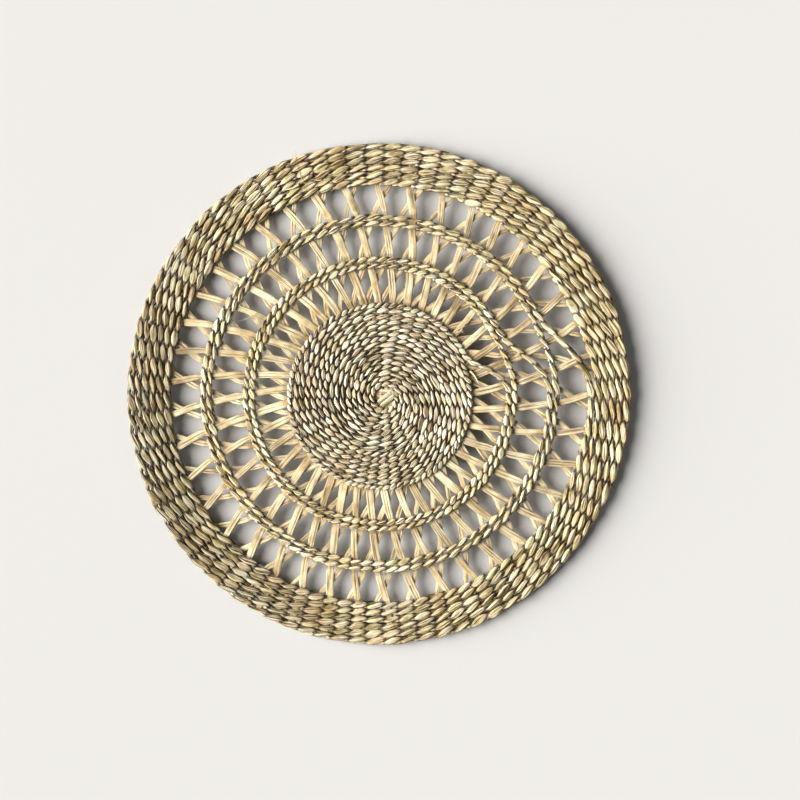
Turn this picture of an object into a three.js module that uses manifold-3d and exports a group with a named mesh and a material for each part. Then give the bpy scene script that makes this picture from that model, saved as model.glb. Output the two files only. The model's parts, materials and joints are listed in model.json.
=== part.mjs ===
// A round openwork seat pad, hand-twined in seagrass over straw stakes. Millimetres, +Z up.
//
// The pad is built as its maker builds it, from the middle outwards:
//  - a star of base straws crosses at the centre, and folded straws (the stakes) are added round it;
//  - each stake's two legs run out to the rim, the front legs leaning one way over the back legs
//    leaning the other;
//  - one pair of weavers spirals clockwise round all of it: a close disc, two open rings and a border.
// Each weaver is drawn as a flat band, weaver a above the stakes and weaver b below them.
// The origin is at the centre of the underside, which lies flat on the seat.

import * as THREE from "three";
import { mergeVertices } from "three/addons/utils/BufferGeometryUtils.js";
import Module from "manifold-3d";

// ---- Driving dimensions -------------------------------------------------------------------------

const CLEARANCE = 0.3; // left between pieces that touch on the real pad

const WEAVER_THICKNESS = 1.9;
const STRAW_THICKNESS = 0.9;
const STRAW_WIDTH = 4;

const DISC_CORE_RADIUS = 34; // the first rows, worked over the star of base straws alone
const DISC_RADIUS = 72;
const SPAN_1 = 22.8; // open width between the disc and ring 1
const SPAN_2 = 21.6; // between ring 1 and ring 2
const SPAN_3 = 20.4; // between ring 2 and the border
const RING_ROWS = 2;
const RING_PITCH = 5.2; // one row of a ring, centre to centre
const BORDER_ROWS = 6;
const BORDER_PITCH = 5.4;
const RIM_MARGIN = 2; // the stakes are trimmed this far inside the rim

const STAKE_COUNT = 41;
const BASE_STRAWS = 6; // straws that cross at the centre, two arms each
const FOLD_LENGTH = 4; // where a stake doubles back, inside the disc
const FOLD_INSET = 26; // the fold lies this far inside the disc's rim
const SPREAD_INSET = 12; // and the legs start to part this far inside it

// The weavers step out to their next row in one sector, from STEP_START round clockwise to 0 degrees.
const STEP_START = 27;
const ARC_STEP = 9; // degrees between stations on an even arc
const STEP_ARC_STEP = 4.5; // and where a weaver steps out
const TAIL_WIDTH = 0.8; // the last weaver is worked off to this at its tip

const WELD_DISTANCE = 0.0001; // corners closer than this are one corner
const REPEAT_DISTANCE = 0.01; // stations closer than this are one station

const SEAGRASS = { color: 0xa89a6c, roughness: 0.85, metalness: 0 };
const STRAW = { color: 0xd9c08c, roughness: 0.6, metalness: 0 };

// ---- Sizes that follow --------------------------------------------------------------------------

const RING_WIDTH = RING_ROWS * RING_PITCH;
const RING_1_INNER = DISC_RADIUS + SPAN_1;
const RING_2_INNER = RING_1_INNER + RING_WIDTH + SPAN_2;
const BORDER_INNER = RING_2_INNER + RING_WIDTH + SPAN_3;
const MAT_RADIUS = BORDER_INNER + BORDER_ROWS * BORDER_PITCH;
const FOLD_RADIUS = DISC_RADIUS - FOLD_INSET;

const LOWER_WEAVER_Z = 0;
const BACK_LEG_Z = LOWER_WEAVER_Z + WEAVER_THICKNESS + CLEARANCE;
const FRONT_LEG_Z = BACK_LEG_Z + STRAW_THICKNESS + CLEARANCE;
const UPPER_WEAVER_Z = FRONT_LEG_Z + STRAW_THICKNESS + CLEARANCE;
const FOLD_HEIGHT = FRONT_LEG_Z + STRAW_THICKNESS - BACK_LEG_Z;

const STAKE_SPACING = 360 / STAKE_COUNT; // degrees

// Where the legs pass each radius, in stake spacings counter-clockwise from the stake's own angle.
// The front legs lean counter-clockwise and the back legs clockwise, so that a front leg crosses a
// back leg in every open span. Inside a ring the weavers hold the legs nearly straight.
const LEG_STATIONS = [
  { radius: FOLD_RADIUS, front: 0.45, back: 0.45 },
  { radius: DISC_RADIUS - SPREAD_INSET, front: 0.18, back: 0.3 },
  { radius: DISC_RADIUS, front: 0.32, back: -0.07 },
  { radius: RING_1_INNER, front: 0.65, back: -0.97 },
  { radius: RING_1_INNER + RING_WIDTH, front: 0.71, back: -0.93 },
  { radius: RING_2_INNER, front: 0.97, back: -1.47 },
  { radius: RING_2_INNER + RING_WIDTH, front: 1.02, back: -1.6 },
  { radius: BORDER_INNER, front: 1.28, back: -2.08 },
  { radius: MAT_RADIUS - RIM_MARGIN, front: 1.34, back: -2.12 },
];

// Hand work is uneven. At each place round the pad, in degrees, the stakes stand this many degrees
// counter-clockwise of even spacing.
const DRIFT = [
  [0, -3], [9, -1], [25, -0.3], [45, 0.3], [62, -0.6], [98, 0.4], [137, 0.6], [155, -0.4],
  [180, -1.1], [200, -0.5], [222, 0.9], [240, 0.7], [255, -0.3], [270, -2.2], [313, -3.9],
  [338, -5.4], [350, -4.2], [360, -3],
];

// ---- Helpers ------------------------------------------------------------------------------------

const wasm = await Module();
wasm.setup();

const at = (radius, degrees) => {
  const angle = THREE.MathUtils.degToRad(degrees);
  return new THREE.Vector2(radius * Math.cos(angle), radius * Math.sin(angle));
};

const smooth = (t) => t * t * (3 - 2 * t);

// A flat plate: the outline, less its holes, from z = bottom up.
function plate(outline, thickness, bottom = 0, holes = []) {
  const shape = new THREE.Shape(outline);
  shape.holes = holes.map((hole) => new THREE.Path(hole));
  const geometry = new THREE.ExtrudeGeometry(shape, { depth: thickness, bevelEnabled: false });
  return geometry.translate(0, 0, bottom);
}

const circle = (radius) => {
  const points = [];
  for (let a = 0; a < 360; a += ARC_STEP) points.push(at(radius, a));
  return points;
};

function toSolid(geometry) {
  const bare = geometry.index ? geometry.toNonIndexed() : geometry.clone();
  bare.deleteAttribute("normal");
  bare.deleteAttribute("uv");
  const merged = mergeVertices(bare, WELD_DISTANCE);
  return new wasm.Manifold(
    new wasm.Mesh({
      numProp: 3,
      vertProperties: merged.attributes.position.array,
      triVerts: new Uint32Array(merged.index.array),
    }),
  );
}

// Several closed geometries joined into one.
function join(...geometries) {
  const made = geometries
    .map(toSolid)
    .reduce((sum, solid) => sum.add(solid))
    .getMesh();
  const geometry = new THREE.BufferGeometry();
  geometry.setAttribute("position", new THREE.BufferAttribute(made.vertProperties, 3));
  geometry.setIndex(new THREE.BufferAttribute(made.triVerts, 1));
  geometry.computeVertexNormals();
  return geometry;
}

const pad = new THREE.Group();

function addPiece(name, geometry, finish) {
  const piece = new THREE.Mesh(geometry, new THREE.MeshStandardMaterial(finish));
  piece.name = name;
  pad.add(piece);
}

// ---- Stakes -------------------------------------------------------------------------------------

// A straw of even width along a line of points, mitred where it bends.
function strawOutline(line, width) {
  const sides = [[], []];
  line.forEach((point, i) => {
    const before = line[Math.max(i - 1, 0)];
    const after = line[Math.min(i + 1, line.length - 1)];
    const along = after.clone().sub(before).normalize();
    const across = new THREE.Vector2(-along.y, along.x).multiplyScalar(width / 2);
    sides[0].push(point.clone().sub(across));
    sides[1].unshift(point.clone().add(across));
  });
  return [...sides[0], ...sides[1]];
}

// The even angle moved by the drift at that place.
function drifted(degrees) {
  const place = THREE.MathUtils.euclideanModulo(degrees, 360);
  const after = DRIFT.findIndex(([angle]) => angle > place);
  const [startAngle, startDrift] = DRIFT[after - 1];
  const [endAngle, endDrift] = DRIFT[after];
  const t = (place - startAngle) / (endAngle - startAngle);
  return degrees + THREE.MathUtils.lerp(startDrift, endDrift, t);
}

function leg(stakeAngle, side, bottom) {
  const line = LEG_STATIONS.map((s) => {
    return at(s.radius, drifted(stakeAngle + s[side] * STAKE_SPACING));
  });
  return plate(strawOutline(line, STRAW_WIDTH), STRAW_THICKNESS, bottom);
}

// One straw folded in half: the fold holds its two legs one above the other.
function stakeGeometry(stakeAngle) {
  const foldAngle = drifted(stakeAngle + LEG_STATIONS[0].front * STAKE_SPACING);
  const line = [
    at(FOLD_RADIUS - FOLD_LENGTH / 2, foldAngle),
    at(FOLD_RADIUS + FOLD_LENGTH / 2, foldAngle),
  ];
  const fold = plate(strawOutline(line, STRAW_WIDTH), FOLD_HEIGHT, BACK_LEG_Z);
  const front = leg(stakeAngle, "front", FRONT_LEG_Z);
  const back = leg(stakeAngle, "back", BACK_LEG_Z);
  return join(front, back, fold);
}

for (let n = 1; n <= STAKE_COUNT; n++) {
  const stake = stakeGeometry((n - 1) * STAKE_SPACING);
  addPiece(`stake_${String(n).padStart(2, "0")}`, stake, STRAW);
}

// The base straws cross at the centre and stop short of the stakes' folds.
function starGeometry() {
  const reach = FOLD_RADIUS - FOLD_LENGTH / 2 - STRAW_WIDTH;
  const arms = [];
  for (let n = 0; n < BASE_STRAWS; n++) {
    const angle = (n * 180) / BASE_STRAWS;
    const line = [at(-reach, angle), at(reach, angle)];
    arms.push(plate(strawOutline(line, STRAW_WIDTH), FOLD_HEIGHT, BACK_LEG_Z));
  }
  return join(...arms);
}

addPiece("centre_star", starGeometry(), STRAW);

// ---- Weavers ------------------------------------------------------------------------------------

// The rows that the weavers pass through after the disc, each with its middle radius and band width.
// The clearance is on a row's inner side, so that the last row's outer edge is the rim.
function rowsFrom(inner, count, pitch) {
  return Array.from({ length: count }, (_, n) => ({
    radius: inner + (n + 0.5) * pitch + CLEARANCE / 2,
    width: pitch - CLEARANCE,
  }));
}

const ring1 = rowsFrom(RING_1_INNER, RING_ROWS, RING_PITCH);
const ring2 = rowsFrom(RING_2_INNER, RING_ROWS, RING_PITCH);
const border = rowsFrom(BORDER_INNER, BORDER_ROWS, BORDER_PITCH);
const discRim = { radius: DISC_RADIUS - RING_PITCH / 2, width: RING_PITCH - CLEARANCE };

// Stations of the sector in which a weaver steps out to its next row, clockwise from STEP_START.
function stepOut(from, to) {
  const stations = [];
  for (let a = STEP_START; a >= 0; a -= STEP_ARC_STEP) {
    const t = smooth(1 - a / STEP_START);
    stations.push({
      angle: a,
      inner: THREE.MathUtils.lerp(from.radius - from.width / 2, to.radius - to.width / 2, t),
      outer: THREE.MathUtils.lerp(from.radius + from.width / 2, to.radius + to.width / 2, t),
    });
  }
  return stations;
}

// The even part of a row, clockwise from 0 degrees round to STEP_START.
function evenArc(row) {
  const stations = [];
  for (let a = 0; a >= STEP_START - 360; a -= ARC_STEP) {
    stations.push({
      angle: a,
      inner: row.radius - row.width / 2,
      outer: row.radius + row.width / 2,
    });
  }
  return stations;
}

// The last weaver narrows as the row inside it takes its place at the rim.
function tail(row, below) {
  const stations = [];
  for (const s of stepOut(below, row)) {
    const inner = s.outer + CLEARANCE;
    const outer = row.radius + row.width / 2;
    if (outer - inner < TAIL_WIDTH) break;
    stations.push({ angle: s.angle, inner: Math.max(inner, row.radius - row.width / 2), outer });
  }
  return stations;
}

// A band's outline runs out along its outer edge and back along its inner edge. Its start is cut
// back from the band before it by the clearance.
function bandOutline(stations) {
  const outer = stations.map((s) => at(s.outer, s.angle));
  const inner = stations.map((s) => at(s.inner, s.angle));
  for (const edge of [outer, inner]) {
    const cut = edge[1].clone().sub(edge[0]).setLength(CLEARANCE);
    edge[0].add(cut);
  }
  return [...outer, ...inner.reverse()];
}

function addWeavers(name, outline, holes = []) {
  addPiece(`${name}_weaver_a`, plate(outline, WEAVER_THICKNESS, UPPER_WEAVER_Z, holes), SEAGRASS);
  addPiece(`${name}_weaver_b`, plate(outline, WEAVER_THICKNESS, LOWER_WEAVER_Z, holes), SEAGRASS);
}

// Rows joined end to end, each with its step out to the next.
function rowStations(rows, next) {
  return rows.flatMap((row, n) => {
    const following = rows[n + 1] ?? next;
    const end = following ? stepOut(row, following) : tail(row, rows[n - 1]);
    return [...evenArc(row), ...end.slice(1)];
  });
}

// Leave out a station that repeats the one before it, where a step ends and the next row starts.
function withoutRepeats(stations) {
  const place = (station) => at(station.outer, station.angle);
  return stations.filter((station, n) => {
    if (n === 0) return true;
    return place(station).distanceTo(place(stations[n - 1])) > REPEAT_DISTANCE;
  });
}

function addRows(name, rows, next) {
  addWeavers(name, bandOutline(withoutRepeats(rowStations(rows, next))));
}

// The disc is close-woven: a core plate, and an outer plate whose last row leaves it for ring 1.
addWeavers("disc_core", circle(DISC_CORE_RADIUS));
const discLayers = { a: UPPER_WEAVER_Z, b: LOWER_WEAVER_Z };
for (const [suffix, bottom] of Object.entries(discLayers)) {
  const hole = circle(DISC_CORE_RADIUS + CLEARANCE);
  const rim = plate(circle(DISC_RADIUS), WEAVER_THICKNESS, bottom, [hole]);
  const leaving = plate(bandOutline(stepOut(discRim, ring1[0])), WEAVER_THICKNESS, bottom);
  addPiece(`disc_outer_weaver_${suffix}`, join(rim, leaving), SEAGRASS);
}

addRows("ring_1_inner", [ring1[0]], ring1[1]);
addRows("ring_1_outer", [ring1[1]], ring2[0]);
addRows("ring_2_inner", [ring2[0]], ring2[1]);
addRows("ring_2_outer", [ring2[1]], border[0]);
addRows("border_inner", border.slice(0, 2), border[2]);
addRows("border_middle", border.slice(2, 4), border[4]);
addRows("border_outer", border.slice(4, 6));

export default pad;
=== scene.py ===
# %% [markdown]
# # A round seat pad, twined in seagrass over straw
#
# This lesson builds a woven pad strand by strand. On the real pad a maker crosses a few straws,
# adds folded straws round them, and then works two long seagrass strands outwards in one clockwise
# spiral. The two strands swap sides between one straw and the next, which is called twining.
#
# The pad could be a flat disc with a woven pattern painted on it. It would look wrong from every other
# side, so every strand here is a real closed tube that passes over and under the straws.
#
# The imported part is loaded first. It is the fixed frame: each strand goes where its piece lies.

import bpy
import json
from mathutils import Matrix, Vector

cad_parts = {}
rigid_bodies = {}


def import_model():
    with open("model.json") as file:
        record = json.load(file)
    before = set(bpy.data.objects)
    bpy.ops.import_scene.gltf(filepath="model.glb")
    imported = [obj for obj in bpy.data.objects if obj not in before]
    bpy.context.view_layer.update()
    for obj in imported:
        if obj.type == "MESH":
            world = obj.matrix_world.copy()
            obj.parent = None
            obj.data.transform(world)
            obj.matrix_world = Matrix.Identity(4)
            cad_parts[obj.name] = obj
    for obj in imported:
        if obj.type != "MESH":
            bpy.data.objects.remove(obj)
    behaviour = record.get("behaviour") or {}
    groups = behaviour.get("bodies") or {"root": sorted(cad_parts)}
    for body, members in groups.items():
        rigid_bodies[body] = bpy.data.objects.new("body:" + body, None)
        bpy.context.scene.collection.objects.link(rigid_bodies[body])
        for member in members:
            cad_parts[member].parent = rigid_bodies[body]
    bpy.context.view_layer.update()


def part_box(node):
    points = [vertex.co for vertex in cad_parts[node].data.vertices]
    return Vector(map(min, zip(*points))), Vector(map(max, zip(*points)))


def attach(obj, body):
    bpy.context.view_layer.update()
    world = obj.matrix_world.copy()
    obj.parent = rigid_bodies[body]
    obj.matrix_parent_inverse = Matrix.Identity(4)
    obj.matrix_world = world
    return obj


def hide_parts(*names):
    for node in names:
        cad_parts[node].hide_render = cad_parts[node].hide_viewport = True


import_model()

import json
import math

import bmesh
import bpy
import numpy as np

# %% [markdown]
# ## Sizes of the weave
#
# Everything is in metres, and a value times MM is given in millimetres. A weaver counts in rows: the
# disc has sixteen close rows, each open ring has two, and the border has six. Rows are found by their
# middle radius, and the straws by their place round the pad.

# %% Sizes of the weave
MM = 0.001
STAKE_COUNT = 41
STAKE_SPACING = 360 / STAKE_COUNT
DISC_ROWS = 16
DISC_RIM = 70.7 * MM
DISC_PITCH = 4.2 * MM
RING_1_ROWS = [96.8 * MM, 101.7 * MM]
RING_2_ROWS = [128.4 * MM, 133.3 * MM]
BORDER_INNER = 157.6 * MM
BORDER_PITCH = 5.4 * MM
BORDER_ROWS = [BORDER_INNER + (row + 0.5) * BORDER_PITCH for row in range(6)]
OPEN_ROWS = RING_1_ROWS + RING_2_ROWS + BORDER_ROWS
TRIM_RADIUS = 188.5 * MM
FOLD_RADIUS = 46 * MM

PAD_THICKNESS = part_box("border_outer_weaver_a")[1].z
MIDDLE = PAD_THICKNESS / 2
STEP_OUT = 27.0  # degrees in which a weaver steps out to its next row
print("pad thickness, mm:", round(PAD_THICKNESS / MM, 2))

# %% [markdown]
# ## The spiral
#
# One spiral carries both weavers from the centre to the rim, so it is written once, as a radius for
# each angle turned. In the disc it widens evenly. Outside the disc a row keeps its radius for most
# of a turn and then steps out to the next row in one short sector. That step is why the pad has
# diagonal strands at its right side. Hand work is never even, so a slow wander is kept ready to be
# added to rows, stitches and straws.

# %% The spiral
def smooth(t):
    t = np.clip(t, 0, 1)
    return t * t * (3 - 2 * t)


WAVE_NUMBERS = (3, 5, 8, 13)
WAVE_HEIGHT = 1.6  # brings the sum of the waves to about the stated size


def wander(x, seed, size):
    """A slow, smooth and repeatable unevenness, about size high, along x in turns."""
    random = np.random.default_rng(seed)
    total = np.zeros_like(x)
    for wave in WAVE_NUMBERS:
        total += np.sin(x * 2 * math.pi * wave / 3 + random.uniform(0, 6.28)) / wave
    return total * size * WAVE_HEIGHT


START_RADIUS = 6.5 * MM
DISC_TURNS = float(DISC_ROWS)
ALL_TURNS = DISC_TURNS + len(OPEN_ROWS)


def row_radius(turned):
    """Middle radius of the twined pair after so many clockwise turns from the centre."""
    turned = np.asarray(turned, float)
    spiral = DISC_RIM - (DISC_TURNS - STEP_OUT / 360 - turned) * DISC_PITCH
    radius = np.minimum(spiral, DISC_RIM)
    rows = [DISC_RIM] + OPEN_ROWS
    for n in range(len(OPEN_ROWS)):
        start = DISC_TURNS + n - STEP_OUT / 360
        step = smooth((turned - start) / (STEP_OUT / 360))
        radius = np.where(turned > start, rows[n] + (rows[n + 1] - rows[n]) * step, radius)
    return radius


CENTRE_TURN = DISC_TURNS - STEP_OUT / 360 - (DISC_RIM - START_RADIUS) / DISC_PITCH
print("the weavers start at turn", round(CENTRE_TURN, 2), "and end at turn", ALL_TURNS)

# %% [markdown]
# ## Where the straws are
#
# Each stake is a folded straw. Its front leg leans counter-clockwise and its back leg clockwise, so
# in every open band a front leg crosses a back leg. The leans are given at a few radii in stake
# spacings, and read smoothly between them. The stakes aren't evenly spaced either: drift says how
# far the maker set them from even spacing at each place round the pad.

# %% Where the straws are
LEG_RADII = np.array([46, 60, 72, 94.8, 105.2, 126.8, 137.2, 157.6, 188]) * MM
FRONT_LEAN = np.array([0.45, 0.18, 0.32, 0.65, 0.71, 0.97, 1.02, 1.28, 1.34])
BACK_LEAN = np.array([0.45, 0.3, -0.07, -0.97, -0.93, -1.47, -1.6, -2.08, -2.12])
DRIFT_PLACES = [0, 9, 25, 45, 62, 98, 137, 155, 180, 200, 222, 240, 255, 270, 313, 338, 350]
DRIFT = [-3, -1, -0.3, 0.3, -0.6, 0.4, 0.6, -0.4, -1.1, -0.5, 0.9, 0.7, -0.3, -2.2, -3.9, -5.4, -4.2]


def drift(place):
    """How far, in degrees, the maker set the straws from even spacing at this place."""
    return np.interp(np.asarray(place) % 360, DRIFT_PLACES, DRIFT, period=360)


def lean(radius, side):
    table = FRONT_LEAN if side == "front" else BACK_LEAN
    nearby = [np.interp(radius + step * MM, LEG_RADII, table) for step in (-1.5, 0, 1.5)]
    return sum(nearby) / len(nearby)


# %% [markdown]
# ## A stitch over every straw
#
# Near the centre there is little to go over, so the pair makes 12 stitches a turn and then 21. A
# little inside the fold a stitch comes to lie over each stake, and near the disc's rim over each leg
# of it. One rule passes into the next within 30 degrees. A whole number is added to the next rule's
# count there, so that the stitches carry on in step.

# %% A stitch over every straw
BASE_STITCHES = 12
FEW_STITCHES = 21
FEW_FROM = 21 * MM
STAKES_FROM = 42 * MM
LEGS_FROM = 66.5 * MM
JOIN_TURN = 30 / 360


def stitch_count(turned, radius):
    """How many stitches the pair has made, so that a stitch lies over each straw it crosses."""
    degrees = -turned * 360
    places = (degrees - drift(degrees - drift(degrees))) / STAKE_SPACING
    mean_lean = (lean(radius, "front") + lean(radius, "back")) / 2
    over_legs = 2 * (places - mean_lean) + 0.5
    over_stakes = places - 0.15
    over_few = -turned * FEW_STITCHES
    count = -turned * BASE_STITCHES
    joins = [(FEW_FROM, over_few), (STAKES_FROM, over_stakes), (LEGS_FROM, over_legs)]
    for join_radius, following in joins:
        at_join = turned[np.argmin(abs(radius - join_radius))]
        shift = np.round(np.interp(at_join, turned, count - following))
        change = smooth((turned - at_join) / JOIN_TURN + 0.5)
        count = (1 - change) * count + change * (following + shift)
    return -count


fine = np.arange(CENTRE_TURN, ALL_TURNS, 1 / 3600)
fine_count = stitch_count(fine, row_radius(fine))
fine_count = np.maximum.accumulate(fine_count)
print("stitches in each strand:", int(fine_count[-1] - fine_count[0]))

# %% [markdown]
# ## A node builder
#
# Geometry Nodes wrap each strand round its path. The trees, and the finishes later, are made with
# four small helpers. The first adds a node and links or sets its inputs, the second does one sum,
# the third reads a value stored on the mesh, and the fourth stores one there.

# %% A node builder
def add_node(tree, kind, inputs=(), **settings):
    node = tree.nodes.new(kind)
    for name, value in settings.items():
        setattr(node, name, value)
    for key, value in dict(inputs).items():
        socket = node.inputs[key]
        if isinstance(value, bpy.types.NodeSocket):
            tree.links.new(value, socket)
        else:
            socket.default_value = value
    return node


def calc(tree, operation, *values):
    sockets = {n: v for n, v in enumerate(values)}
    return add_node(tree, "ShaderNodeMath", sockets, operation=operation).outputs[0]


def read(tree, name, kind="FLOAT"):
    node = add_node(tree, "GeometryNodeInputNamedAttribute", {"Name": name}, data_type=kind)
    return node.outputs["Attribute"]


def store(tree, geometry, name, value, kind="FLOAT"):
    inputs = {"Geometry": geometry, "Name": name, "Value": value}
    made = add_node(tree, "GeometryNodeStoreNamedAttribute", inputs, data_type=kind)
    return made.outputs["Geometry"]


# %% [markdown]
# ## The wrapping tree
#
# A strand's path carries, at each point, the direction across it and upwards, and how wide and how
# thick it is there. The tree sweeps a ring of points along the path, then places each point from
# those values. Lobes round the ring give the folded-leaf section of real seagrass, and a slow noise
# makes it lumpy. The same tree makes the straws, with other values.
#
# Roundness 1 gives a round section, and below 1 a squarer and flatter one, as a split straw has. The
# folds between lobes come from a wave raised to a power, which makes them narrow and sharp.

# %% The wrapping tree
FOLD_SHARPNESS = 4.0
GRAIN_PER_METRE = 100.0  # one step of the grain value is a centimetre along the strand


def flattened(tree, wave, roundness):
    """A cosine or sine kept as it is at roundness 1, and squarer below 1."""
    strength = calc(tree, "POWER", calc(tree, "ABSOLUTE", wave), roundness)
    return calc(tree, "MULTIPLY", calc(tree, "SIGN", wave), strength)


def wrapping_tree():
    tree = bpy.data.node_groups.new("wrap a strand round its path", "GeometryNodeTree")
    face = tree.interface
    face.new_socket("Geometry", in_out="INPUT", socket_type="NodeSocketGeometry")
    sizes = [("Points Around", "Int"), ("Lobes", "Float"), ("Lobe Depth", "Float")]
    sizes += [("Lump Depth", "Float"), ("Lump Length", "Float"), ("Roundness", "Float")]
    sizes += [("Seed", "Float")]
    for name, kind in sizes:
        face.new_socket(name, in_out="INPUT", socket_type="NodeSocket" + kind)
    face.new_socket("Material", in_out="INPUT", socket_type="NodeSocketMaterial")
    face.new_socket("Geometry", in_out="OUTPUT", socket_type="NodeSocketGeometry")
    given = tree.nodes.new("NodeGroupInput").outputs
    rail = add_node(tree, "GeometryNodeMeshToCurve", {"Mesh": given["Geometry"]})
    ring = add_node(tree, "GeometryNodeCurvePrimitiveCircle",
                    {"Resolution": given["Points Around"], "Radius": MM})
    index = tree.nodes.new("GeometryNodeInputIndex").outputs[0]
    turn = calc(tree, "MULTIPLY", calc(tree, "DIVIDE", index, given["Points Around"]), math.tau)
    ring = store(tree, ring.outputs["Curve"], "around", turn)
    tube = add_node(tree, "GeometryNodeCurveToMesh",
                    {"Curve": rail.outputs["Curve"], "Profile Curve": ring, "Fill Caps": True})
    around = read(tree, "around")
    cosine = calc(tree, "COSINE", around)
    sine = calc(tree, "SINE", around)
    across = flattened(tree, cosine, given["Roundness"])
    upward = flattened(tree, sine, given["Roundness"])
    run = calc(tree, "DIVIDE", read(tree, "along"), given["Lump Length"])
    grain = add_node(tree, "ShaderNodeCombineXYZ", {"X": cosine, "Y": sine, "Z": run})
    lumps = add_node(tree, "ShaderNodeTexNoise",
                     {"Vector": grain.outputs[0], "W": given["Seed"], "Scale": 1.0, "Detail": 1.0},
                     noise_dimensions="4D").outputs["Fac"]
    lump = calc(tree, "MULTIPLY", calc(tree, "SUBTRACT", lumps, 0.5), given["Lump Depth"])
    twist = calc(tree, "ADD", calc(tree, "MULTIPLY", around, given["Lobes"]), read(tree, "roll"))
    ridge = calc(tree, "ADD", calc(tree, "MULTIPLY", calc(tree, "COSINE", twist), 0.5), 0.5)
    fold = calc(tree, "MULTIPLY", calc(tree, "POWER", ridge, FOLD_SHARPNESS), given["Lobe Depth"])
    size = calc(tree, "ADD", calc(tree, "SUBTRACT", lump, fold), 1.0)
    place = read(tree, "place", "FLOAT_VECTOR")
    for direction, reach, part in (("side", "half_width", across), ("lift", "half_thick", upward)):
        scale = calc(tree, "MULTIPLY", calc(tree, "MULTIPLY", part, size), read(tree, reach))
        way = add_node(tree, "ShaderNodeVectorMath",
                       {0: read(tree, direction, "FLOAT_VECTOR"), "Scale": scale},
                       operation="SCALE").outputs[0]
        place = add_node(tree, "ShaderNodeVectorMath", {0: place, 1: way}).outputs[0]
    moved = add_node(tree, "GeometryNodeSetPosition",
                     {"Geometry": tube.outputs["Mesh"], "Position": place})
    grain_run = calc(tree, "MULTIPLY", read(tree, "along"), GRAIN_PER_METRE)
    grain_value = add_node(tree, "ShaderNodeCombineXYZ", {"X": cosine, "Y": sine, "Z": grain_run})
    kept = store(tree, moved.outputs["Geometry"], "grain", grain_value.outputs[0], "FLOAT_VECTOR")
    real = add_node(tree, "GeometryNodeRealizeInstances", {"Geometry": kept})
    painted = add_node(tree, "GeometryNodeSetMaterial",
                       {"Geometry": real.outputs[0], "Material": given["Material"]})
    result = tree.nodes.new("NodeGroupOutput")
    tree.links.new(painted.outputs["Geometry"], result.inputs["Geometry"])
    return tree


WRAP = wrapping_tree()
print("wrapping tree:", len(WRAP.nodes), "nodes")

# %% [markdown]
# ## Wrapping a set of paths
#
# One piece may hold several paths, such as the two legs of a straw. Each path becomes a chain of mesh
# edges whose points carry its values, and the tree turns every chain into a closed tube. The result
# is made a plain mesh, its faces are turned outwards, and the values that only the tree needed are
# deleted. The last helper says what the piece rides on, and which pieces of the imported part it
# takes the place of.

# %% Wrapping a set of paths
def wrap_paths(name, paths, material, **sizes):
    """Paths are dicts of arrays with one value a point. Crest and shade are 1 where not given."""
    mesh = bpy.data.meshes.new(name)
    points = np.concatenate([path["place"] for path in paths])
    edges, first = [], 0
    for path in paths:
        count = len(path["place"])
        edges += [(first + n, first + n + 1) for n in range(count - 1)]
        first += count
    mesh.from_pydata(points.tolist(), edges, [])
    for key in ("place", "side", "lift"):
        values = np.concatenate([path[key] for path in paths]).astype(np.float32)
        mesh.attributes.new(key, "FLOAT_VECTOR", "POINT").data.foreach_set("vector", values.ravel())
    for key in ("half_width", "half_thick", "along", "roll", "crest", "shade"):
        full = [path.get(key, np.ones(len(path["place"]))) for path in paths]
        values = np.concatenate(full).astype(np.float32)
        mesh.attributes.new(key, "FLOAT", "POINT").data.foreach_set("value", values)
    piece = bpy.data.objects.new(name, mesh)
    bpy.context.scene.collection.objects.link(piece)
    modifier = piece.modifiers.new("wrap", "NODES")
    modifier.node_group = WRAP
    sockets = {s.name: s.identifier for s in WRAP.interface.items_tree if s.in_out == "INPUT"}
    for key, value in sizes.items():
        modifier[sockets[key.replace("_", " ").title()]] = value
    modifier[sockets["Material"]] = material
    evaluated = piece.evaluated_get(bpy.context.evaluated_depsgraph_get())
    plain = bpy.data.meshes.new_from_object(evaluated)
    piece.modifiers.clear()
    piece.data = plain
    plain.name = name
    tidy = bmesh.new()
    tidy.from_mesh(plain)
    bmesh.ops.recalc_face_normals(tidy, faces=tidy.faces)
    tidy.to_mesh(plain)
    tidy.free()
    for key in ("place", "side", "lift", "half_width", "half_thick", "roll", "around"):
        if key in plain.attributes:
            plain.attributes.remove(plain.attributes[key])
    plain.shade_smooth()
    return piece


def keep(piece, slot_name, *nodes):
    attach(piece, "root")
    if nodes:
        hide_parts(*nodes)


# %% [markdown]
# ## Finishes
#
# Dried seagrass runs from a dull khaki to pale straw, with fine fibres along it. In the disc it is a
# little greyer. Split straw is warmer and a little smoother. All three finishes read the grain value
# that the tree left on the mesh, so their fibres run along each strand and never across it. A wide
# slow colour change over the pad stands for leaves from different plants.
#
# Two more values on the mesh darken a finish. Crest is 1 where a strand or a straw is clear of its
# neighbours, and falls where it dives under them: the darkening there, and at a strand's two edges,
# is painted shade. Shade falls below 1 in the border, most at its left side.

# %% Colours and noise
def colour_of(*rgb):
    """A display colour, 0 to 255, as the linear colour that the shader works in."""
    return tuple(((c / 255 + 0.055) / 1.055) ** 2.4 for c in rgb) + (1,)


def noise(tree, vector, scale, stretch=(1, 1, 1), detail=2.0):
    spread = add_node(tree, "ShaderNodeVectorMath", {0: vector, 1: stretch}, operation="MULTIPLY")
    inputs = {"Vector": spread.outputs[0], "Scale": scale, "Detail": detail}
    return add_node(tree, "ShaderNodeTexNoise", inputs).outputs["Fac"]


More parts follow.
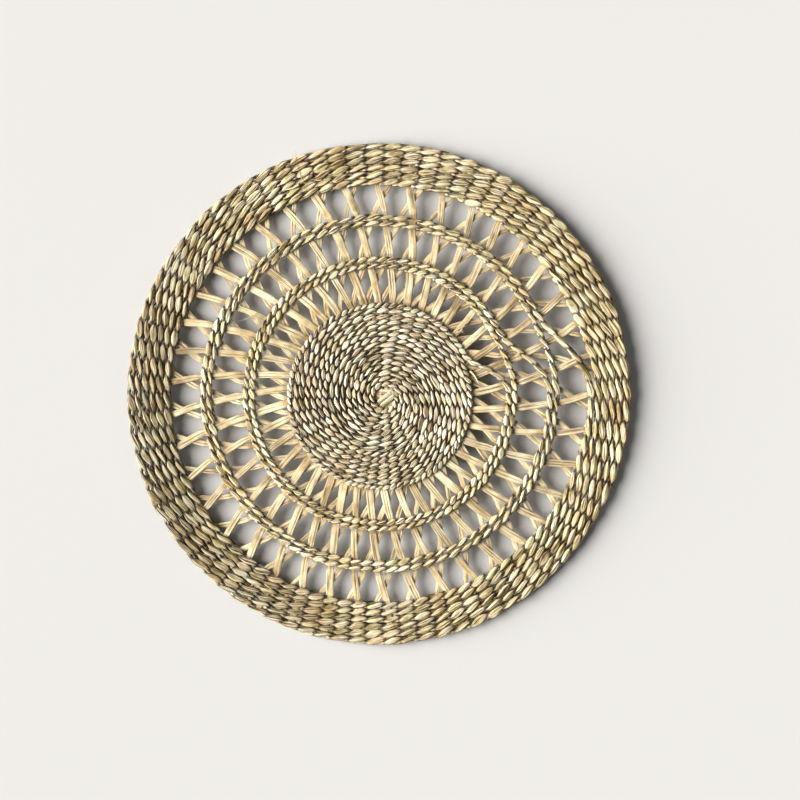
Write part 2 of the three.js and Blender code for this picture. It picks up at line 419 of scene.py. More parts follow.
def ramp(tree, value, stops):
    node = add_node(tree, "ShaderNodeValToRGB", {"Fac": value})
    while len(node.color_ramp.elements) < len(stops):
        node.color_ramp.elements.new(0.5)
    for element, (position, colour) in zip(node.color_ramp.elements, stops):
        element.position = position
        element.color = colour
    return node.outputs["Color"]


def mix(tree, kind, amount, first, second):
    node = add_node(tree, "ShaderNodeMix", data_type="RGBA", blend_type=kind)
    for socket, value in ((node.inputs[0], amount), (node.inputs[6], first), (node.inputs[7], second)):
        if isinstance(value, bpy.types.NodeSocket):
            tree.links.new(value, socket)
        else:
            socket.default_value = value
    return node.outputs[2]


# %% A finish for dried plants
WHITE = colour_of(255, 255, 255)
LEAF_STRETCH = (0.5, 0.5, 0.9)  # broad changes of colour along a strand
FIBRE_STRETCH = (3.6, 3.6, 0.4)  # fine lines that run along it
PLANT_STRETCH = (0.4, 0.4, 0.8)  # slow changes between greener and pinker
PATCH_SCALE = 26.0
# painted shade: a strand's two edges, where its surface turns away, are darkened
EDGE_SHADE = 0.45  # how much darker a strand's two edges are than its middle
LINE_STOPS = [(0.38, colour_of(100, 82, 58)), (0.51, colour_of(255, 254, 250))]
TINT_STOPS = [(0.34, colour_of(234, 244, 216)), (0.5, WHITE), (0.68, colour_of(255, 234, 218))]
SHADE_STOPS = [(0.0, colour_of(70, 56, 40)), (1.0, WHITE)]


def plant_finish(name, leaf_stops, patch_stops, gap_shade_stops, rough, bump_height, line_depth, tint):
    material = bpy.data.materials.new(name)
    material.use_nodes = True
    tree = material.node_tree
    shader = tree.nodes["Principled BSDF"]
    grain = add_node(tree, "ShaderNodeAttribute", attribute_name="grain").outputs["Vector"]
    where = tree.nodes.new("ShaderNodeTexCoord").outputs["Object"]
    leaf = noise(tree, grain, 1.0, LEAF_STRETCH, 2.0)
    fibre = noise(tree, grain, 1.0, FIBRE_STRETCH, 4.0)
    patch = noise(tree, where, PATCH_SCALE, (1, 1, 1), 2.0)
    base = ramp(tree, leaf, leaf_stops)
    base = mix(tree, "MULTIPLY", 1.0, base, ramp(tree, patch, patch_stops))
    base = mix(tree, "MULTIPLY", line_depth, base, ramp(tree, fibre, LINE_STOPS))
    plant = noise(tree, grain, 0.7, PLANT_STRETCH, 1.0)
    base = mix(tree, "MULTIPLY", tint, base, ramp(tree, plant, TINT_STOPS))
    # Painted shade: the colour darkens where crest is low, under the neighbours, and at a strand's two
    # edges.
    crest = add_node(tree, "ShaderNodeAttribute", attribute_name="crest").outputs["Fac"]
    across = add_node(tree, "ShaderNodeSeparateXYZ", {"Vector": grain}).outputs["X"]
    edge = calc(tree, "POWER", calc(tree, "ABSOLUTE", across), 6.0)
    shade_in_gaps = calc(tree, "SUBTRACT", crest, calc(tree, "MULTIPLY", edge, EDGE_SHADE))
    base = mix(tree, "MULTIPLY", 1.0, base, ramp(tree, shade_in_gaps, gap_shade_stops))
    shade = add_node(tree, "ShaderNodeAttribute", attribute_name="shade").outputs["Fac"]
    base = mix(tree, "MULTIPLY", 1.0, base, ramp(tree, shade, SHADE_STOPS))
    tree.links.new(base, shader.inputs["Base Color"])
    roughness = add_node(tree, "ShaderNodeMapRange",
                         {"Value": fibre, "To Min": rough + 0.12, "To Max": rough - 0.1})
    tree.links.new(roughness.outputs[0], shader.inputs["Roughness"])
    bump = add_node(tree, "ShaderNodeBump",
                    {"Height": fibre, "Distance": bump_height, "Strength": 0.7})
    tree.links.new(bump.outputs["Normal"], shader.inputs["Normal"])
    shader.inputs["Specular IOR Level"].default_value = 0.12
    shader.inputs["Sheen Weight"].default_value = 0.08
    return material


# %% The three finishes
SEAGRASS = plant_finish(
    "dried seagrass",
    [(0.3, colour_of(184, 170, 136)), (0.42, colour_of(219, 208, 176)),
     (0.54, colour_of(241, 233, 210)), (0.7, colour_of(254, 251, 240))],
    [(0.35, colour_of(244, 234, 216)), (0.65, colour_of(255, 253, 244))],
    [(0.05, colour_of(96, 74, 50)), (0.5, WHITE)],
    rough=0.5, bump_height=0.001, line_depth=0.95, tint=0.35)
DISC_SEAGRASS = plant_finish(
    "dried seagrass, greyer",
    [(0.3, colour_of(190, 177, 148)), (0.43, colour_of(220, 209, 184)),
     (0.54, colour_of(238, 230, 212)), (0.7, colour_of(250, 247, 238))],
    [(0.35, colour_of(240, 236, 226)), (0.65, colour_of(255, 252, 246))],
    [(0.05, colour_of(92, 74, 54)), (0.5, WHITE)],
    rough=0.5, bump_height=0.001, line_depth=0.95, tint=0.3)
STRAW = plant_finish(
    "split straw",
    [(0.3, colour_of(186, 169, 136)), (0.45, colour_of(214, 199, 167)),
     (0.6, colour_of(234, 222, 193)), (0.75, colour_of(247, 240, 218))],
    [(0.35, colour_of(250, 240, 226)), (0.65, colour_of(255, 254, 248))],
    [(0.05, colour_of(140, 114, 80)), (0.5, WHITE)],
    rough=0.46, bump_height=0.0004, line_depth=0.65, tint=0.0)
print("finishes:", ", ".join(m.name for m in (SEAGRASS, DISC_SEAGRASS, STRAW)))

# %% [markdown]
# ## Stitch by stitch
#
# A strand is worked out at ten stations in each stitch. The stations are spread by stitch count and
# not by length, so every stitch has the same number of faces. Sizes change a little from stitch to
# stitch: a random value is drawn for each and blended into the next.

# %% Stitch by stitch
STATIONS_PER_STITCH = 10
LEAST_SIZE = 0.62
MOST_SIZE = 1.34


def per_stitch(count, seed, spread):
    """One random value near 1 for each stitch, blended smoothly into the next."""
    random = np.random.default_rng(seed).normal(1, spread, int(np.max(abs(count))) + 3)
    low = np.floor(abs(count)).astype(int)
    part = smooth(abs(count) - low)
    return np.clip(random[low] * (1 - part) + random[low + 1] * part, LEAST_SIZE, MOST_SIZE)


stations = np.arange(fine_count[0], fine_count[-1], 1 / STATIONS_PER_STITCH)
TURNED = np.interp(stations, fine_count, fine)
COUNT = np.interp(TURNED, fine, fine_count)
print("stations in each strand:", len(TURNED))

# %% [markdown]
# ## Disc, rings and border
#
# The same pair is finest in the disc and fullest in the border. Two shares say how far a radius
# belongs to either. They pass smoothly from 0 to 1, so most sizes change over a little way and not
# all at once.

# %% Disc, rings and border
FADE_WIDTH = 8 * MM
DISC_FADES_FROM = 68 * MM
DISC_EDGE = 71 * MM
RINGS_FROM = 80 * MM
BORDER_FADES_FROM = 150 * MM
OUTER_PITCH = 5.3 * MM


def in_disc(radius):
    return 1 - smooth((radius - DISC_FADES_FROM) / FADE_WIDTH)


def in_border(radius):
    return smooth((radius - BORDER_FADES_FROM) / FADE_WIDTH)


def pitch_at(radius):
    """The room that one row takes up outwards."""
    return np.where(radius < DISC_EDGE, DISC_PITCH, OUTER_PITCH)


def strand_share(radius):
    """Half a strand's width as a share of the row pitch: least in the open rings."""
    return 0.34 + 0.1 * in_border(radius) + 0.06 * in_disc(radius)


for zone, radius in (("disc", 50 * MM), ("ring", 100 * MM), ("border", 170 * MM)):
    print(zone, "strand width, mm:", round(float(2 * strand_share(radius) * pitch_at(radius)) / MM, 2))

# %% [markdown]
# ## How the pad is out of true
#
# Dried flat weaving never lies flat. This pad springs up in a low dome, and its edges curl off the
# seat at the right and the left. Every strand, straw and tail takes its lift from one function, so
# all of them bend together. The disc was also started off the middle, and the weavers come back to
# it row by row further out.

# %% How the pad is out of true
PAD_RADIUS = 190 * MM
DOME_RISE = 8.2  # this and the three curls are in millimetres
RIGHT_CURL = 2.6
RIGHT_TIP_CURL = 1.4
LEFT_CURL = 2.6
RIGHT_WAY = (0.9, 0.44)  # the right curl faces 26 degrees up from straight right
SHIFT_RADII = np.array([0, 72, 99, 131, 158]) * MM
SHIFT_X = np.array([5.4, 1.6, 1.0, 0.6, 0]) * MM
SHIFT_Y = np.array([-4.1, -3.0, -0.3, 0.2, 0]) * MM
DISC_SHIFT = np.array([SHIFT_X[0], SHIFT_Y[0]])


def warp_lift(x, y):
    """How far the dried pad has sprung up from the seat at this place."""
    reach = (RIGHT_WAY[0] * x + RIGHT_WAY[1] * y) / PAD_RADIUS
    dome = 1 - np.clip(np.hypot(x, y) / PAD_RADIUS, 0, 1) ** 2
    right = RIGHT_CURL * smooth((reach - 0.05) / 0.95) + RIGHT_TIP_CURL * smooth((reach - 0.7) / 0.3)
    left = LEFT_CURL * smooth((-x / PAD_RADIUS - 0.7) / 0.3)
    return (DOME_RISE * dome + right + left) * MM


def weave_shift(radius):
    """How far the weavers at this radius lie from their place round the pad's middle."""
    return np.interp(radius, SHIFT_RADII, SHIFT_X), np.interp(radius, SHIFT_RADII, SHIFT_Y)


print("lift at the middle, mm:", round(float(warp_lift(0.0, 0.0)) / MM, 1))

# %% [markdown]
# ## Darker at the border's left side
#
# The border is a little darker than the rings, and most at its left side. Two materials would meet
# in a hard line, so each point of a strand carries a shade instead, and it changes slowly.

# %% Darker at the border's left side
DARKER_SIDE = math.radians(198)


def border_tone(radius, angle):
    """Colour share at this place: 1 is unchanged, and lower is darker."""
    left = np.clip(np.cos(angle - DARKER_SIDE), 0, 1)
    return 1 - in_border(radius) * (0.07 + 0.36 * left ** 1.3)


print("brownest shade:", round(float(border_tone(PAD_RADIUS, DARKER_SIDE)), 2))

# %% [markdown]
# ## The twined pair
#
# Seen from above, a twined row is a line of plump slanted stitches. Each is one strand coming over a
# straw, widest on top of it and narrower where it dives and the other strand comes up. Height
# follows a cosine of the stitch count and the sideways swing follows a sine, with the second strand
# half a cycle behind the first.
#
# With a plain cosine the row would show holes, because both strands would be thin and low where they
# change places. So each strand stays up longer than it stays down, and the two lie side by side
# there. Stitches also come a little early or late, by a wander whose waves don't fit a turn a whole
# number of times. If they did, the early stitches would line up from row to row as dark spokes.

# %% The twined pair
CREST = 1.95 * MM  # about how far a strand's middle rises above the pad's middle
CREST_FLATNESS = 1.7  # higher holds a strand longer at its top and at its bottom
STAY_UP = 0.45
DISC_LESS_UP = 0.12
HEIGHT_SPREAD = 0.04
PINCH = 0.48  # width where the strands change places, as a share of the widest
DISC_MORE_PINCH = 0.1
WIDTH_SPREAD = 0.19
STRAND_HALF_THICK = 1.17 * MM
RING_SWING = 0.21  # as a share of the row pitch
CLOSE_SWING = 0.26
SWING_SPREAD = 0.26
SLOW_WOBBLE = 0.35 * MM
QUICK_WOBBLE = 0.14 * MM
EARLY_OR_LATE = 0.1
WANDERS_PER_TURN = 9.37
ROLL_PER_STITCH = 1.3  # the leaf's folds turn slowly round the strand


def strand_path(strand):
    sign = 1 if strand == "a" else -1
    wobble = wander(TURNED, 4, SLOW_WOBBLE) + wander(TURNED * 6, 8, QUICK_WOBBLE)
    middle = row_radius(TURNED) + wobble
    pitch = pitch_at(middle)
    in_rings = (middle > RINGS_FROM) & (middle < BORDER_FADES_FROM)
    swing = np.where(in_rings, RING_SWING, CLOSE_SWING) * pitch * per_stitch(COUNT, 11, SWING_SPREAD)
    phase = COUNT + wander(TURNED * WANDERS_PER_TURN, 15, EARLY_OR_LATE)
    rise = np.cos(math.pi * phase)
    radius = middle + sign * swing * np.sin(math.pi * phase)
    stay_up = STAY_UP - DISC_LESS_UP * in_disc(middle)
    height = CREST * np.tanh(CREST_FLATNESS * (sign * rise + stay_up))
    height = height * per_stitch(COUNT, 12, HEIGHT_SPREAD)
    angle = -TURNED * math.tau
    shift_x, shift_y = weave_shift(middle)
    x = radius * np.cos(angle) + shift_x
    y = radius * np.sin(angle) + shift_y
    pinch = PINCH - DISC_MORE_PINCH * in_disc(middle)
    fullness = pinch + (1 - pinch) * abs(rise) ** 0.95
    place = np.stack([x, y, MIDDLE + height + warp_lift(x, y)], 1)
    heading = np.gradient(place, axis=0)
    heading /= np.linalg.norm(heading, axis=1)[:, None]
    side = np.cross(heading, [0, 0, 1.0])
    side /= np.linalg.norm(side, axis=1)[:, None]
    steps = np.linalg.norm(np.diff(place, axis=0), axis=1)
    seed = 21 if strand == "a" else 22
    half_width = strand_share(middle) * pitch * fullness * per_stitch(COUNT, seed, WIDTH_SPREAD)
    return {
        "place": place,
        "side": side,
        "lift": np.cross(side, heading),
        "half_width": half_width,
        "half_thick": STRAND_HALF_THICK * np.ones(len(place)),
        "along": np.concatenate([[0], np.cumsum(steps)]),
        "roll": COUNT * ROLL_PER_STITCH,
        # crest: painted shade, darker where the strand changes places and dives under the other
        "crest": abs(rise) ** 0.7,
        "shade": border_tone(middle, angle),
    }


# %% [markdown]
# ## Cutting the pair into pieces
#
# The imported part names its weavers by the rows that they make, so each strand is cut at the same
# turns. Each piece runs on to the first station of the next one, and no gap shows.

# %% Cutting the pair into pieces
CORE_RADIUS = 32 * MM
CORE_TURN = DISC_TURNS - STEP_OUT / 360 - (DISC_RIM - CORE_RADIUS) / DISC_PITCH
CUTS = [("disc_core", CENTRE_TURN, CORE_TURN), ("disc_outer", CORE_TURN, 16)]
CUTS += [("ring_1_inner", 16, 17), ("ring_1_outer", 17, 18)]
CUTS += [("ring_2_inner", 18, 19), ("ring_2_outer", 19, 20)]
CUTS += [("border_inner", 20, 22), ("border_middle", 22, 24), ("border_outer", 24, 26)]


def cut_path(path, start, end):
    inside = np.flatnonzero((TURNED >= start) & (TURNED <= end))
    inside = np.append(inside, min(inside[-1] + 1, len(TURNED) - 1))
    inside = np.unique(inside)
    return {key: values[inside] for key, values in path.items()}


for strand in ("a", "b"):
    whole = strand_path(strand)
    for name, start, end in CUTS:
        finish = DISC_SEAGRASS if name.startswith("disc") else SEAGRASS
        piece = wrap_paths(f"{name}_strand_{strand}", [cut_path(whole, start, end)], finish,
                           points_around=18, lobes=3.0, lobe_depth=0.3, lump_depth=0.5,
                           lump_length=2.0 * MM, roundness=0.9, seed=3.0 if strand == "a" else 9.0)
        keep(piece, "seagrass", f"{name}_weaver_{strand}")
        print(piece.name, len(piece.data.polygons), "faces")

# %% [markdown]
# ## The straws
#
# Every stake is one straw folded in half, so its piece holds a front leg and, just below it, a back
# leg. The legs are flat, a little uneven, and slightly wider in and near the disc. Where they lie
# open the two legs part a little in height. Some are split along their length into two or three
# strips, which spread a little in the open. The ends of six straws stand just out of the last row.

# %% The straws
LEG_STATIONS = 64
OPEN_BANDS = [(72, 95), (105.5, 127), (137, 157.5)]  # between the rows, in millimetres
BAND_FADE = 4
STRAW_HALF_THICK = 0.32 * MM
FIRST_SHOWING = 4
LAST_SHOWING = 9
END_STANDS_OUT = 1.4 * MM
NEAR_DISC_WIDER = 0.08
STRIP_CHANCES = [0.62, 0.26, 0.12]  # of one, two or three strips

# These are in millimetres.
MOST_TRIMMED = 2.5
LAYER_RISE = 0.22
OPEN_RISE = 0.36
FRONT_WIDTHS = (4.8, 6.1)
BACK_WIDTHS = (3.5, 4.7)
STRIP_GAP = 0.25


def openness(radius):
    total = np.zeros_like(radius)
    for inner, outer in OPEN_BANDS:
        total += smooth((radius / MM - inner) / BAND_FADE) * smooth((outer - radius / MM) / BAND_FADE)
    return total


def leg_path(number, side, random, wide, offset=0.0):
    shows = FIRST_SHOWING <= number <= LAST_SHOWING
    trim = TRIM_RADIUS + (END_STANDS_OUT if shows else -random.uniform(0, MOST_TRIMMED) * MM)
    radius = np.linspace(FOLD_RADIUS, trim, LEG_STATIONS)
    stray = wander(radius / (140 * MM), int(random.integers(1, 10 ** 6)), 0.02)
    angle = (number + lean(radius, side) + stray) * STAKE_SPACING
    angle = np.radians(angle + drift(angle)) + offset * MM / radius * (0.8 + 0.2 * openness(radius))
    layer = 1 if side == "front" else -1
    x, y = radius * np.cos(angle), radius * np.sin(angle)
    height = layer * (LAYER_RISE + OPEN_RISE * openness(radius)) * MM
    place = np.stack([x, y, MIDDLE + height + warp_lift(x, y)], 1)
    heading = np.gradient(place, axis=0)
    heading /= np.linalg.norm(heading, axis=1)[:, None]
    across = np.cross([0, 0, 1.0], heading)
    across /= np.linalg.norm(across, axis=1)[:, None]
    splay = 1 + NEAR_DISC_WIDER * (1 - smooth((radius - 74 * MM) / (24 * MM)))
    uneven = 1 + wander(radius / (120 * MM), number, 0.03)
    widths = wide * splay * uneven
    steps = np.linalg.norm(np.diff(place, axis=0), axis=1)
    return {
        "place": place,
        "side": across,
        "lift": np.cross(heading, across),
        "half_width": widths * MM / 2,
        "half_thick": np.full(LEG_STATIONS, STRAW_HALF_THICK),
        "along": np.concatenate([[0], np.cumsum(steps)]) + number * 0.7,
        "roll": np.linspace(0, 1.5, LEG_STATIONS),
        # crest: painted shade, darker where a straw runs under the rows and lighter in the open bands
        "crest": 0.35 + 0.65 * openness(radius),
    }


for number in range(STAKE_COUNT):
    random = np.random.default_rng(500 + number)
    legs = []
    for side in ("front", "back"):
        full_width = random.uniform(*(FRONT_WIDTHS if side == "front" else BACK_WIDTHS))
        strips = int(random.choice([1, 2, 3], p=STRIP_CHANCES))
        for strip in range(strips):
            offset = (strip - (strips - 1) / 2) * full_width / strips
            legs.append(leg_path(number, side, random, full_width / strips - STRIP_GAP, offset))
    piece = wrap_paths(f"straw_pair_{number + 1:02d}", legs, STRAW, points_around=16, lobes=5.0,
                       lobe_depth=0.05, lump_depth=0.06, lump_length=9 * MM, roundness=0.42,
                       seed=float(number))
    keep(piece, "straw", f"stake_{number + 1:02d}")
print("straw pairs:", STAKE_COUNT)

# %% [markdown]
# ## The base straws
#
# Six straight straws cross at the disc's centre. They are flat, and each lies 0.3 mm above the last,
# so none has to bend over another. The weaving hides most of their length.

# %% The base straws
BASE_STRAWS = 6
BASE_REACH = 40 * MM
BASE_STEP = 0.3 * MM


def line_path(start, end, half_width, half_thick, height, count=16, bow=0.0):
    t = np.linspace(0, 1, count)[:, None]
    place = np.array(start) * (1 - t) + np.array(end) * t
    heading = np.array(end) - np.array(start)
    heading = heading / np.linalg.norm(heading)
    across = np.array([-heading[1], heading[0]])
    place = place + across * bow * np.sin(math.pi * t)
    lift = np.tile([0, 0, 1.0], (count, 1))
    return {
        "place": np.column_stack([place, np.full(count, height)]),
        "side": np.tile([across[0], across[1], 0], (count, 1)),
        "lift": lift,
        "half_width": half_width * (0.55 + 0.45 * np.sin(math.pi * t[:, 0]) ** 0.35),
        "half_thick": np.full(count, half_thick),
        "along": t[:, 0] * np.linalg.norm(np.array(end) - np.array(start)),
        "roll": np.zeros(count),
        # crest: painted shade, darker towards the ends where the strand or straw goes under others
        "crest": 0.3 + 0.7 * np.sin(math.pi * t[:, 0]) ** 0.5,
    }


base = []
for n in range(BASE_STRAWS):
    way = np.array([math.cos(n * math.pi / BASE_STRAWS), math.sin(n * math.pi / BASE_STRAWS)])
    level = MIDDLE + (n - 2.5) * BASE_STEP + warp_lift(DISC_SHIFT[0], DISC_SHIFT[1])
    base.append(line_path(DISC_SHIFT - way * BASE_REACH, DISC_SHIFT + way * BASE_REACH,
                          1.9 * MM, 0.3 * MM, level))
star = wrap_paths("base_straws", base, STRAW, points_around=12, lobes=4.0, lobe_depth=0.06,
                  lump_depth=0.1, lump_length=6 * MM, roundness=0.7, seed=2.0)
keep(star, "straw", "centre_star")
print("base straws:", len(base))

# %% [markdown]
# ## The centre knot
#
# The first stitches close the crossing. Two strands lie side by side on a slant over it, one lies
# across beside them, and one more lies underneath.

# %% The centre knot
SLANT = math.radians(38)
slant = np.array([math.cos(SLANT), math.sin(SLANT)])
aside = np.array([-slant[1], slant[0]])
dome_lift = warp_lift(DISC_SHIFT[0], DISC_SHIFT[1])
high = PAD_THICKNESS - 1.15 * MM + dome_lift
knot = []
for shift in (-1.7, 1.7):
    middle = DISC_SHIFT + aside * shift * MM
    knot.append(line_path(middle - slant * 6.5 * MM, middle + slant * 6.5 * MM,
                          2.0 * MM, 1.1 * MM, high))
over = DISC_SHIFT + np.array([0.0, 5.2]) * MM
knot.append(line_path(over - np.array([5.5, 0]) * MM, over + np.array([5.5, 0]) * MM,
                      1.9 * MM, 1.05 * MM, high, bow=0.8 * MM))
knot.append(line_path(DISC_SHIFT - aside * 7 * MM, DISC_SHIFT + aside * 7 * MM,
                      2.6 * MM, 1.1 * MM, 1.2 * MM + dome_lift))
knot_piece = wrap_paths("centre_knot", knot, DISC_SEAGRASS, points_around=18, lobes=3.0,
                        lobe_depth=0.2, lump_depth=0.3, lump_length=2.4 * MM, roundness=0.9, seed=5.0)
keep(knot_piece, "seagrass")
print("centre knot:", len(knot), "strands")

# %% [markdown]
# ## Splices and tails
#
# A weaver is only as long as a leaf, so the maker lays a new one in and leaves a tail. Six tails
# show on the border and four at the disc's edge, each tapering almost to a point. Two long thin
# hairs have worked loose as well.

# %% Splices and tails
def tail_path(angle, radius, turn, length, width, height, count=14, rise=0.0):
    """A tapering strand from an angle and radius, heading turn degrees from straight outwards."""
    start = np.array([math.cos(math.radians(angle)), math.sin(math.radians(angle))]) * radius * MM
    way = math.radians(angle + turn)
    end = start + np.array([math.cos(way), math.sin(way)]) * length * MM
    path = line_path(start, end, width * MM, min(width, 0.7) * MM, 0.0, count, bow=0.06 * length * MM)
    t = np.linspace(0, 1, count)
    spot = path["place"]
    lift = warp_lift(spot[:, 0], spot[:, 1])
    spot[:, 2] = lift + height * MM + rise * MM * t ** 2
    path["half_width"] = width * MM * (1 - 0.85 * t ** 1.5)
    path["half_thick"] = np.full(count, min(width, 0.7) * MM) * (1 - 0.7 * t ** 2)
    # a tail's crest stays high, so only its edges get the painted shade
    path["crest"] = np.full(count, 0.75)
    return path


tails = [tail_path(111, 169, 88, 13, 1.1, 6.0), tail_path(108, 172, 99, 11, 0.8, 6.2, rise=0.9)]
tails += [tail_path(105, 167, 70, 8, 0.7, 6.1), tail_path(37, 77, 20, 8, 1.2, 5.2)]
tails += [tail_path(39, 76, -16, 7, 0.9, 5.4, rise=0.8), tail_path(36, 78, 52, 5, 0.6, 5.0)]
tails += [tail_path(14, 71, -72, 12, 1.0, 5.4), tail_path(197, 170, -84, 9, 0.8, 6.0)]
tails += [tail_path(239, 168, 80, 8, 0.7, 6.0), tail_path(9, 171, 95, 9, 0.8, 6.0)]
tails += [tail_path(109.5, 168, -4, 27, 0.28, 6.2, 20), tail_path(147, 111, 58, 14, 0.3, 5.4, 20)]
tail_piece = wrap_paths("splice_tails", tails, SEAGRASS, points_around=12, lobes=3.0,
                        lobe_depth=0.15, lump_depth=0.25, lump_length=2.4 * MM, roundness=0.9,
                        seed=7.0)
keep(tail_piece, "seagrass")
print("splice tails:", len(tails))

# %% [markdown]
# ## Loose fibres
#
# Dry leaves fray into fine hairs. Geometry Nodes scatter points on the upward faces of four of the
# weavers' pieces with a fixed seed, put one curved hair on each, and turn it into real mesh. A hair
# has only a few faces, because it repeats hundreds of times. None grows on a face that looks down,
# where it would reach into the seat.

# %% One hair
HAIR_LENGTH = 5 * MM
HAIR_STEPS = 5
HAIR_RADIUS = 0.09 * MM


def hair_mesh():
    """One thin three-sided hair, bowed, lying along X from the origin."""
    hair = bmesh.new()
    rings = []
    for step in range(HAIR_STEPS + 1):
        t = step / HAIR_STEPS
        thin = HAIR_RADIUS * (1 - 0.8 * t)
        centre = (HAIR_LENGTH * t, 1.1 * MM * t ** 2, 0.5 * MM * math.sin(math.pi * t))
        corners = [(0, thin), (-thin * 0.87, -thin / 2), (thin * 0.87, -thin / 2)]
        rings.append([hair.verts.new((centre[0], centre[1] + y, centre[2] + z)) for y, z in corners])
    for first, second in zip(rings, rings[1:]):
        for n in range(3):
            m = (n + 1) % 3
            hair.faces.new((first[n], first[m], second[m], second[n]))
    hair.faces.new(rings[0][::-1])
    hair.faces.new(rings[-1])
    bmesh.ops.recalc_face_normals(hair, faces=hair.faces)
    mesh = bpy.data.meshes.new("one hair")
    hair.to_mesh(mesh)
    hair.free()
    return bpy.data.objects.new("one hair", mesh)


# %% The fraying tree
UPWARD = 0.1  # hairs grow only where a face's direction points up by more than this


def fraying_tree():
    tree = bpy.data.node_groups.new("scatter loose fibres", "GeometryNodeTree")
    face = tree.interface
    face.new_socket("Geometry", in_out="INPUT", socket_type="NodeSocketGeometry")
    face.new_socket("Hair", in_out="INPUT", socket_type="NodeSocketObject")
    face.new_socket("Hairs per Square Metre", in_out="INPUT", socket_type="NodeSocketFloat")
    face.new_socket("Seed", in_out="INPUT", socket_type="NodeSocketInt")
    face.new_socket("Material", in_out="INPUT", socket_type="NodeSocketMaterial")
    face.new_socket("Geometry", in_out="OUTPUT", socket_type="NodeSocketGeometry")
    given = tree.nodes.new("NodeGroupInput").outputs
    facing = tree.nodes.new("GeometryNodeInputNormal").outputs["Normal"]
    height = add_node(tree, "ShaderNodeSeparateXYZ", {"Vector": facing}).outputs["Z"]
    upper = add_node(tree, "FunctionNodeCompare", {0: height, 1: UPWARD}, operation="GREATER_THAN")
    spots = add_node(tree, "GeometryNodeDistributePointsOnFaces",
                     {"Mesh": given["Geometry"], "Selection": upper.outputs[0],
                      "Density": given["Hairs per Square Metre"], "Seed": given["Seed"]})
    spin = add_node(tree, "FunctionNodeRandomValue", {0: (-0.35, -0.35, 0), 1: (0.35, 0.35, math.tau),
                                                      "Seed": given["Seed"]}, data_type="FLOAT_VECTOR")
    grow = add_node(tree, "FunctionNodeRandomValue", {2: 0.5, 3: 1.25, "Seed": given["Seed"]})
    shape = add_node(tree, "GeometryNodeObjectInfo", {"Object": given["Hair"]})
    hairs = add_node(tree, "GeometryNodeInstanceOnPoints",
                     {"Points": spots.outputs["Points"], "Instance": shape.outputs["Geometry"],
                      "Rotation": spin.outputs[0], "Scale": grow.outputs[1]})
    real = add_node(tree, "GeometryNodeRealizeInstances", {"Geometry": hairs.outputs[0]})
    painted = add_node(tree, "GeometryNodeSetMaterial",
                       {"Geometry": real.outputs[0], "Material": given["Material"]})
    result = tree.nodes.new("NodeGroupOutput")
    tree.links.new(painted.outputs["Geometry"], result.inputs["Geometry"])
    return tree


# %% Loose fibres
HAIRS_PER_SQUARE_METRE = 4500.0
FIRST_SEED = 31
FRAY = fraying_tree()
one_hair = hair_mesh()
hair_finish = bpy.data.materials.new("loose fibre")
hair_finish.use_nodes = True
hair_tree = hair_finish.node_tree
hair_where = hair_tree.nodes.new("ShaderNodeTexCoord").outputs["Object"]
hair_tone = noise(hair_tree, hair_where, 220.0)
hair_stops = [(0.35, colour_of(206, 186, 138)), (0.65, colour_of(248, 236, 204))]
hair_colour = ramp(hair_tree, hair_tone, hair_stops)
hair_tree.links.new(hair_colour, hair_tree.nodes["Principled BSDF"].inputs["Base Color"])
hair_tree.nodes["Principled BSDF"].inputs["Roughness"].default_value = 0.5
for n, name in enumerate(["disc_outer", "border_inner", "border_middle", "border_outer"]):
    source = bpy.data.objects[f"{name}_strand_a"]
    fray = bpy.data.objects.new(f"loose_fibres_{n + 1}", source.data.copy())
    bpy.context.scene.collection.objects.link(fray)
    modifier = fray.modifiers.new("fray", "NODES")
    modifier.node_group = FRAY
    sockets = {s.name: s.identifier for s in FRAY.interface.items_tree if s.in_out == "INPUT"}
    modifier[sockets["Hair"]] = one_hair
    modifier[sockets["Hairs per Square Metre"]] = HAIRS_PER_SQUARE_METRE
    modifier[sockets["Seed"]] = FIRST_SEED + n
    modifier[sockets["Material"]] = hair_finish
    evaluated = fray.evaluated_get(bpy.context.evaluated_depsgraph_get())
    plain = bpy.data.meshes.new_from_object(evaluated)
    fray.modifiers.clear()
    fray.data = plain
    plain.shade_smooth()
    keep(fray, "seagrass")
    print(fray.name, len(plain.polygons), "faces")
bpy.data.objects.remove(one_hair)

# %% [markdown]
# ## The floor
#
# A plain pale surface lies just under the pad and catches its shadow.

# %% The floor
FLOOR_HEIGHT = -0.0003
bpy.ops.mesh.primitive_plane_add(size=40, location=(0, 0, FLOOR_HEIGHT))
floor = bpy.context.object
floor.name = "floor"
paper = bpy.data.materials.new("pale floor")
paper.use_nodes = True
paper_shader = paper.node_tree.nodes["Principled BSDF"]
paper_shader.inputs["Base Color"].default_value = colour_of(200, 198, 195)
paper_shader.inputs["Roughness"].default_value = 0.9
floor.data.materials.append(paper)
print("floor height, mm:", FLOOR_HEIGHT / MM)

# %% [markdown]
# ## Light
#
# One low wide window on the left models the stitches and drops a soft shadow to the right. It is
# made of two lights: a soft sun for the even part, and an area lamp near by for the part that falls
# off across the pad. A wider lamp on the right stands for the light that a wall gives back, without
# which the shadows would be too dark. A display gamma a little under 1 deepens the middle tones.

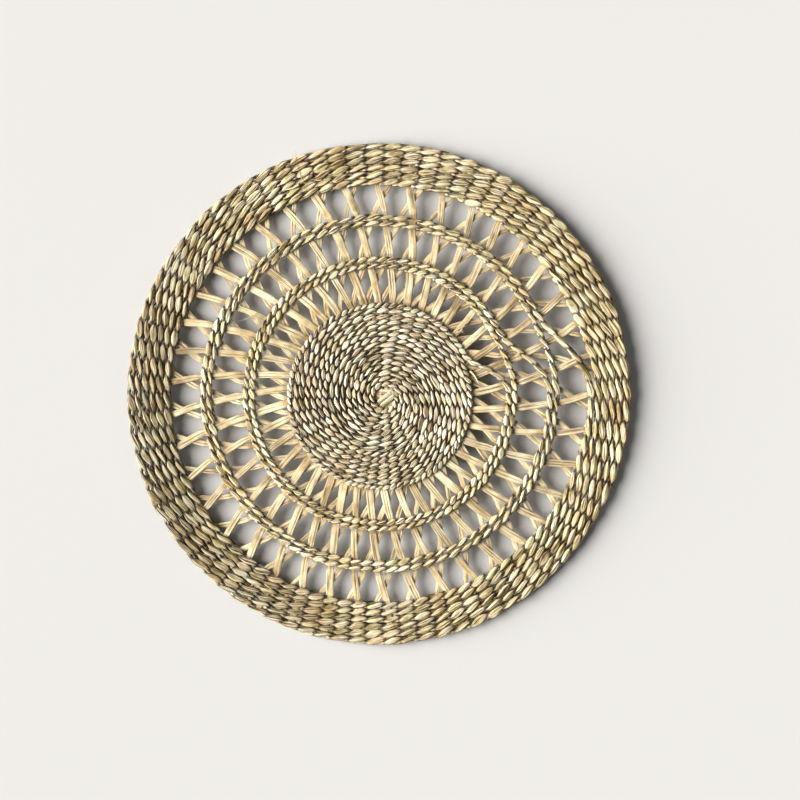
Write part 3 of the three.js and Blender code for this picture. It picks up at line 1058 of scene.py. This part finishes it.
# %% Light
WINDOW_HEIGHT = 28  # degrees above the floor
WINDOW_SPREAD = 58  # degrees across, which softens the shadows
LAMP_DISTANCE = 2.6
SKY_STRENGTH = 0.1


def area_light(name, azimuth, elevation, distance, size, power):
    light = bpy.data.lights.new(name, "AREA")
    light.size = size
    light.energy = power
    lamp = bpy.data.objects.new(name, light)
    bpy.context.scene.collection.objects.link(lamp)
    a, e = math.radians(azimuth), math.radians(elevation)
    lamp.location = (distance * math.cos(e) * math.cos(a), distance * math.cos(e) * math.sin(a),
                     distance * math.sin(e))
    lamp.rotation_euler = (-lamp.location).to_track_quat("-Z", "Y").to_euler()
    return lamp


sun = bpy.data.lights.new("window", "SUN")
sun.energy = 8.6
sun.angle = math.radians(WINDOW_SPREAD)
sun_lamp = bpy.data.objects.new("window", sun)
bpy.context.scene.collection.objects.link(sun_lamp)
sun_lamp.rotation_euler = (0, math.radians(-(90 - WINDOW_HEIGHT)), 0)
area_light("near_window", 176, 32, LAMP_DISTANCE, 1.0, 9)
area_light("wall_bounce", -5, 34, LAMP_DISTANCE, 1.8, 9)
world = bpy.data.worlds.new("studio")
bpy.context.scene.world = world
world.use_nodes = True
world.node_tree.nodes["Background"].inputs["Color"].default_value = (1, 1, 1, 1)
world.node_tree.nodes["Background"].inputs["Strength"].default_value = SKY_STRENGTH
bpy.context.scene.view_settings.view_transform = "Standard"
bpy.context.scene.view_settings.gamma = 0.86

# %% [markdown]
# ## The camera
#
# The camera looks straight down from 1.6 m. The pad lies a little left of the view's centre and a
# little above it.

# %% The camera
CAMERA_HEIGHT = 1.6
FRAME_WIDTH = 0.6066  # what the view takes in across, at the height of the pad's middle
AIM = (0.0159, -0.0049)
camera_data = bpy.data.cameras.new("camera")
camera_data.angle = 2 * math.atan(FRAME_WIDTH / 2 / (CAMERA_HEIGHT - MIDDLE))
camera = bpy.data.objects.new("camera", camera_data)
camera.location = (AIM[0], AIM[1], CAMERA_HEIGHT)
bpy.context.scene.collection.objects.link(camera)
bpy.context.scene.camera = camera
print("view angle, degrees:", round(math.degrees(camera_data.angle), 2))
